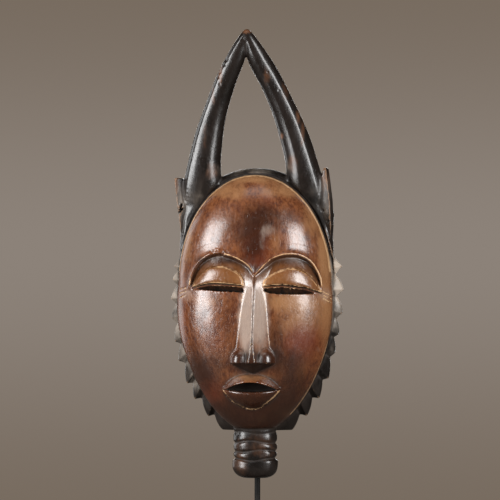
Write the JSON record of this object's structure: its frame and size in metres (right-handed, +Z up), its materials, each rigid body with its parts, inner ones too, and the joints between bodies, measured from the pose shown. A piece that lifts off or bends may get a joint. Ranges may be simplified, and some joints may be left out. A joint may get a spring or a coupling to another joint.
{
  "type": "yaure mask",
  "caption": "Carved wooden face mask with long horns that meet at the tips, a toothed border and a ribbed beard, held upright on a rod and a steel foot.",
  "frame": {"origin": "centre of the stand foot's underside, on the line of the rod", "axes": "+Z up along the rod and the horns, -Y the way the face looks, +X to the right of someone facing it"},
  "size_m": [0.1556, 0.1316, 0.5221],
  "materials": {
    "stained_wood": "dark handled patina with a waxed gloss, rubbed pale on the edges",
    "black_steel": "satin black paint"
  },
  "bodies": {
    "root": {"mask": "stained_wood", "stand_rod": "black_steel", "stand_base": "black_steel"}
  },
  "joints": []
}
